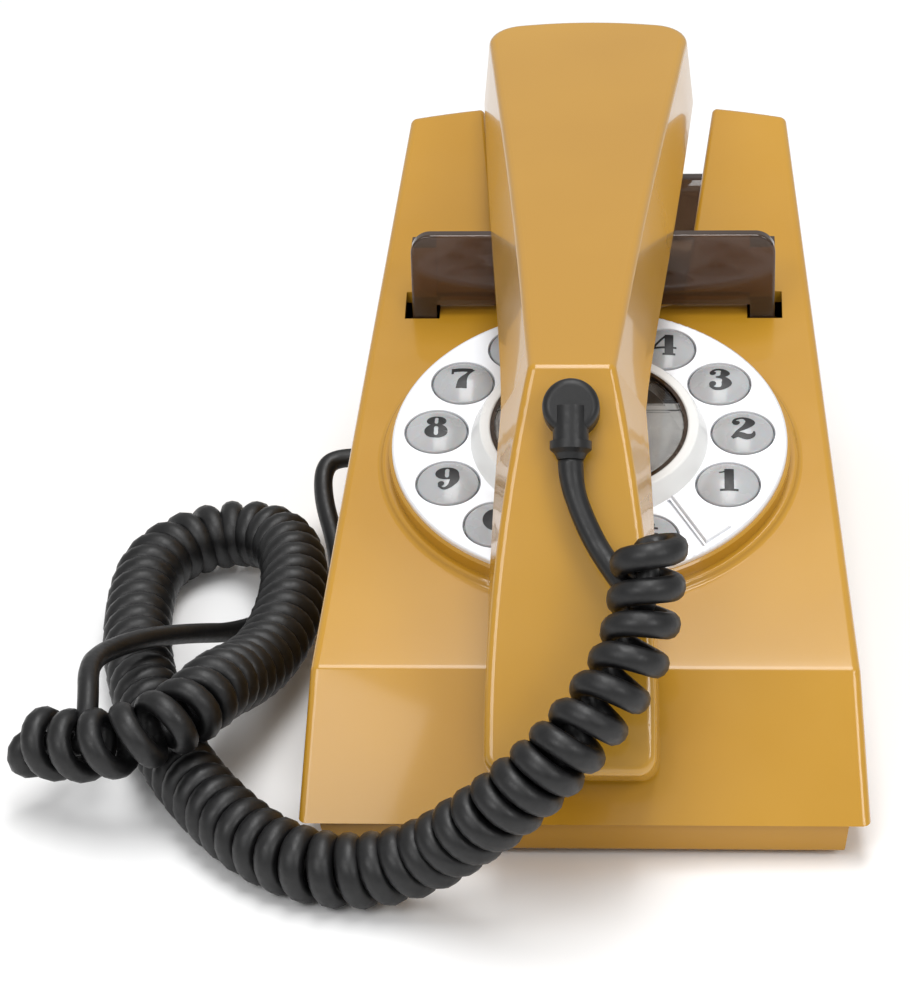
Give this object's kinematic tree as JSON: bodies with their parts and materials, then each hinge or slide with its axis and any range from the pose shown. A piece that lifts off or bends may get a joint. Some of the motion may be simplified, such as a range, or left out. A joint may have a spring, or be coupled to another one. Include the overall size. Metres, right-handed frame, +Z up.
{
  "type": "slimline push-button telephone",
  "caption": "Slimline telephone with a boomerang handset resting in the back of a wedge case, a round push-button dial, a hook bar and a curly cord.",
  "frame": {"origin": "middle of the telephone, on the table under its rubber feet", "axes": "+X to the right of the person using it, +Y to the rear, +Z up"},
  "size_m": [0.1739, 0.2332, 0.1006],
  "materials": {
    "case_plastic": "polished mustard moulding",
    "base_plastic": "satin ochre moulding",
    "foot_rubber": "matt",
    "zinc_steel": "zinc plated",
    "ballast_iron": "painted",
    "circuit_board": "lacquered board",
    "black_plastic": "satin",
    "clear_grey_plastic": "gloss",
    "smoked_plastic": "clear brown, polished",
    "spring_steel": "drawn wire",
    "silver_plate": "satin anodised",
    "collar_plastic": "white gloss",
    "card": "matt card",
    "clear_plastic": "clear, polished",
    "membrane_rubber": "matt",
    "microphone_metal": "drawn can",
    "cord_rubber": "matt black sheath",
    "key_plastic": "grey, slightly translucent"
  },
  "bodies": {
    "case": {"upper_case": "case_plastic", "base_plate": "base_plastic", "rubber_foot_front_left": "foot_rubber", "rubber_foot_front_right": "foot_rubber", "rubber_foot_rear_left": "foot_rubber", "rubber_foot_rear_right": "foot_rubber", "case_screw_front_left": "zinc_steel", "case_screw_front_right": "zinc_steel", "case_screw_rear_left": "zinc_steel", "case_screw_rear_right": "zinc_steel", "ballast_plate": "ballast_iron", "main_board": "circuit_board", "ringer": "black_plastic", "handset_socket": "clear_grey_plastic", "line_socket": "clear_grey_plastic", "ringer_switch_body": "black_plastic", "hook_spring_left": "spring_steel", "hook_spring_right": "spring_steel", "hook_switch": "black_plastic", "carry_handle": "smoked_plastic", "dial_surround": "case_plastic", "dial_plate": "silver_plate", "finger_stop": "silver_plate", "centre_collar": "collar_plastic", "card_ring": "smoked_plastic", "number_card": "card", "card_cover": "clear_plastic", "keypad_membrane": "membrane_rubber", "keypad_board": "circuit_board", "cord_coil_floor": "cord_rubber", "cord_lead_end": "cord_rubber", "cord_plug": "clear_grey_plastic"},
    "handset": {"handset_outer_shell": "case_plastic", "handset_inner_shell": "case_plastic", "earpiece_cap": "case_plastic", "receiver": "black_plastic", "mouthpiece_cap": "case_plastic", "microphone": "microphone_metal", "handset_screw_front": "zinc_steel", "handset_screw_rear": "zinc_steel", "cord_grommet": "cord_rubber", "cord_collar": "cord_rubber", "cord_lead_top": "cord_rubber", "cord_coil_hanging": "cord_rubber"},
    "hook": {"hook_bar": "smoked_plastic"},
    "ringer_knob": {"ringer_switch": "black_plastic"},
    "button_one": {"key_one": "key_plastic"},
    "button_two": {"key_two": "key_plastic"},
    "button_three": {"key_three": "key_plastic"},
    "button_four": {"key_four": "key_plastic"},
    "button_five": {"key_five": "key_plastic"},
    "button_six": {"key_six": "key_plastic"},
    "button_seven": {"key_seven": "key_plastic"},
    "button_eight": {"key_eight": "key_plastic"},
    "button_nine": {"key_nine": "key_plastic"},
    "button_zero": {"key_zero": "key_plastic"},
    "button_star": {"key_star": "key_plastic"},
    "button_hash": {"key_hash": "key_plastic"}
  },
  "joints": [
    {"name": "handset_lift", "type": "slide", "parent": "case", "child": "handset", "axis": [0, 0, 1], "range_m": [0, 0.1]},
    {"name": "hook_travel", "type": "slide", "parent": "case", "child": "hook", "axis": [0, 0, 1], "range_m": [0, 0.004], "deforming": ["hook_spring_left", "hook_spring_right"]},
    {"name": "ringer_slide", "type": "slide", "parent": "case", "child": "ringer_knob", "axis": [0, 1, 0], "range_m": [0, 0.005]},
    {"name": "press_one", "type": "slide", "parent": "case", "child": "button_one", "axis": [0, 0.2692, -0.9631], "range_m": [0, 0.0012], "stiffness_N_per_m": 300},
    {"name": "press_two", "type": "slide", "parent": "case", "child": "button_two", "axis": [0, 0.2692, -0.9631], "range_m": [0, 0.0012], "stiffness_N_per_m": 300},
    {"name": "press_three", "type": "slide", "parent": "case", "child": "button_three", "axis": [0, 0.2692, -0.9631], "range_m": [0, 0.0012], "stiffness_N_per_m": 300},
    {"name": "press_four", "type": "slide", "parent": "case", "child": "button_four", "axis": [0, 0.2692, -0.9631], "range_m": [0, 0.0012], "stiffness_N_per_m": 300},
    {"name": "press_five", "type": "slide", "parent": "case", "child": "button_five", "axis": [0, 0.2692, -0.9631], "range_m": [0, 0.0012], "stiffness_N_per_m": 300},
    {"name": "press_six", "type": "slide", "parent": "case", "child": "button_six", "axis": [0, 0.2692, -0.9631], "range_m": [0, 0.0012], "stiffness_N_per_m": 300},
    {"name": "press_seven", "type": "slide", "parent": "case", "child": "button_seven", "axis": [0, 0.2692, -0.9631], "range_m": [0, 0.0012], "stiffness_N_per_m": 300},
    {"name": "press_eight", "type": "slide", "parent": "case", "child": "button_eight", "axis": [0, 0.2692, -0.9631], "range_m": [0, 0.0012], "stiffness_N_per_m": 300},
    {"name": "press_nine", "type": "slide", "parent": "case", "child": "button_nine", "axis": [0, 0.2692, -0.9631], "range_m": [0, 0.0012], "stiffness_N_per_m": 300},
    {"name": "press_zero", "type": "slide", "parent": "case", "child": "button_zero", "axis": [0, 0.2692, -0.9631], "range_m": [0, 0.0012], "stiffness_N_per_m": 300},
    {"name": "press_star", "type": "slide", "parent": "case", "child": "button_star", "axis": [0, 0.2692, -0.9631], "range_m": [0, 0.0012], "stiffness_N_per_m": 300},
    {"name": "press_hash", "type": "slide", "parent": "case", "child": "button_hash", "axis": [0, 0.2692, -0.9631], "range_m": [0, 0.0012], "stiffness_N_per_m": 300}
  ],
  "couplings": [
    {"joint": "hook_travel", "follows": "handset_lift", "ratio": 0.04}
  ]
}
